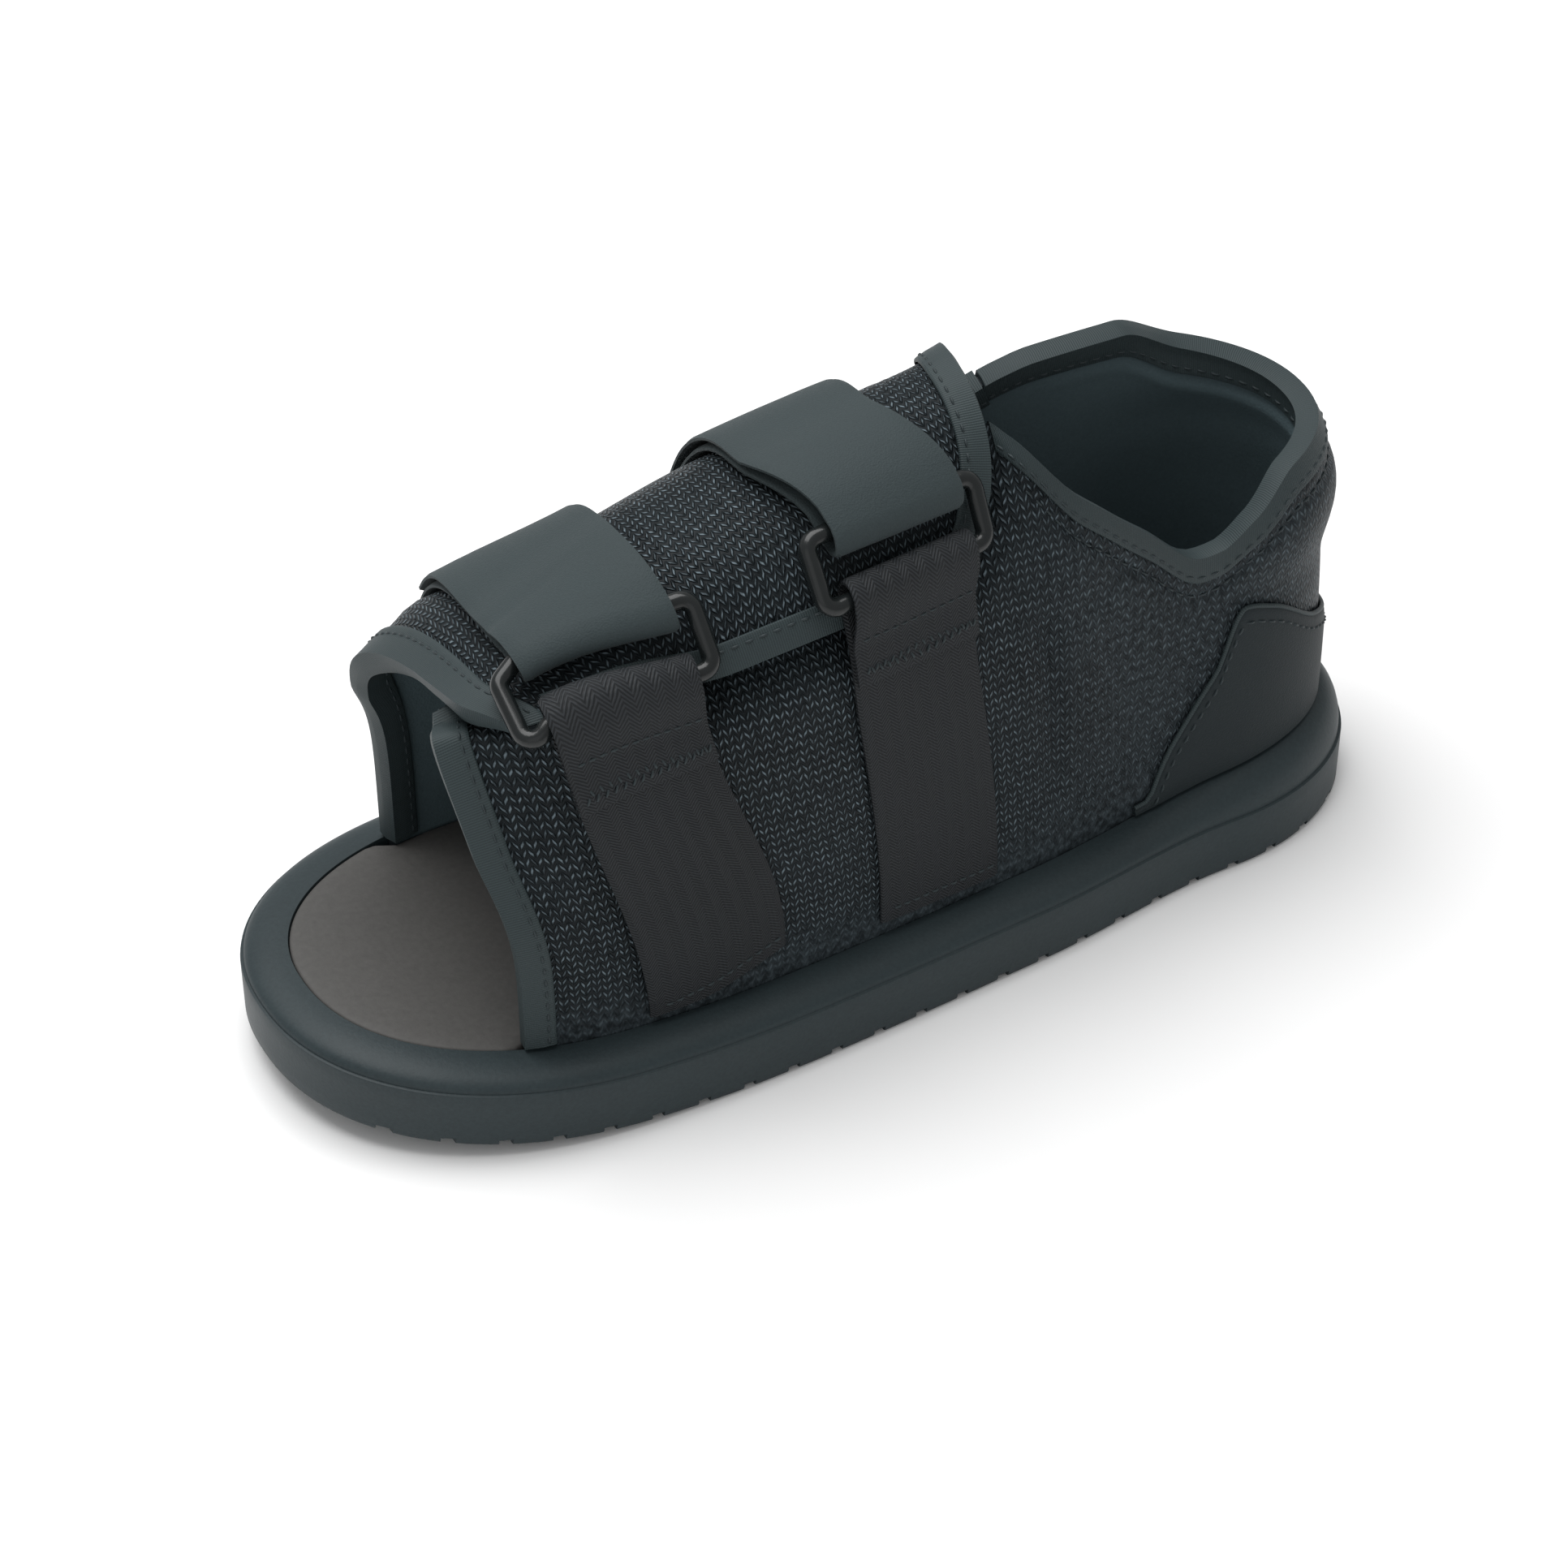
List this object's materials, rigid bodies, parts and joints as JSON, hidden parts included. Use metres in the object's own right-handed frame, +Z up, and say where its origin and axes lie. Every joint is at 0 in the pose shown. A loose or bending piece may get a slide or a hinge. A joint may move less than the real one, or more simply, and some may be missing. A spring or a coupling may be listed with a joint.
{
  "type": "post operative shoe",
  "caption": "Open-toe post operative shoe with a mesh wrap-over upper, two ring-and-strap closures, padded bound collar and thick square-toed foam sole.",
  "frame": {"origin": "middle of the sole's bounding box, at the ground plane", "axes": "+X towards the toe, +Y towards the ring side, the shoe's left, +Z up"},
  "size_m": [0.285, 0.1116, 0.1384],
  "materials": {
    "foam": "satin moulded EVA foam",
    "liner": "smooth foam sock",
    "mesh": "knitted air mesh",
    "tape": "folded binding tape",
    "loop": "smooth brushed loop cloth",
    "web": "ribbed elastic webbing",
    "plastic": "glossy moulded plastic"
  },
  "bodies": {
    "root": {"sole": "foam", "insole": "liner", "upper": "mesh", "heel_counter": "loop", "collar_binding": "tape", "flap_binding": "tape", "left_front_binding": "tape", "flap_front_binding": "tape", "front_webbing": "web", "rear_webbing": "web", "front_ring": "plastic", "rear_ring": "plastic", "front_strap": "loop", "rear_strap": "loop"}
  },
  "joints": []
}
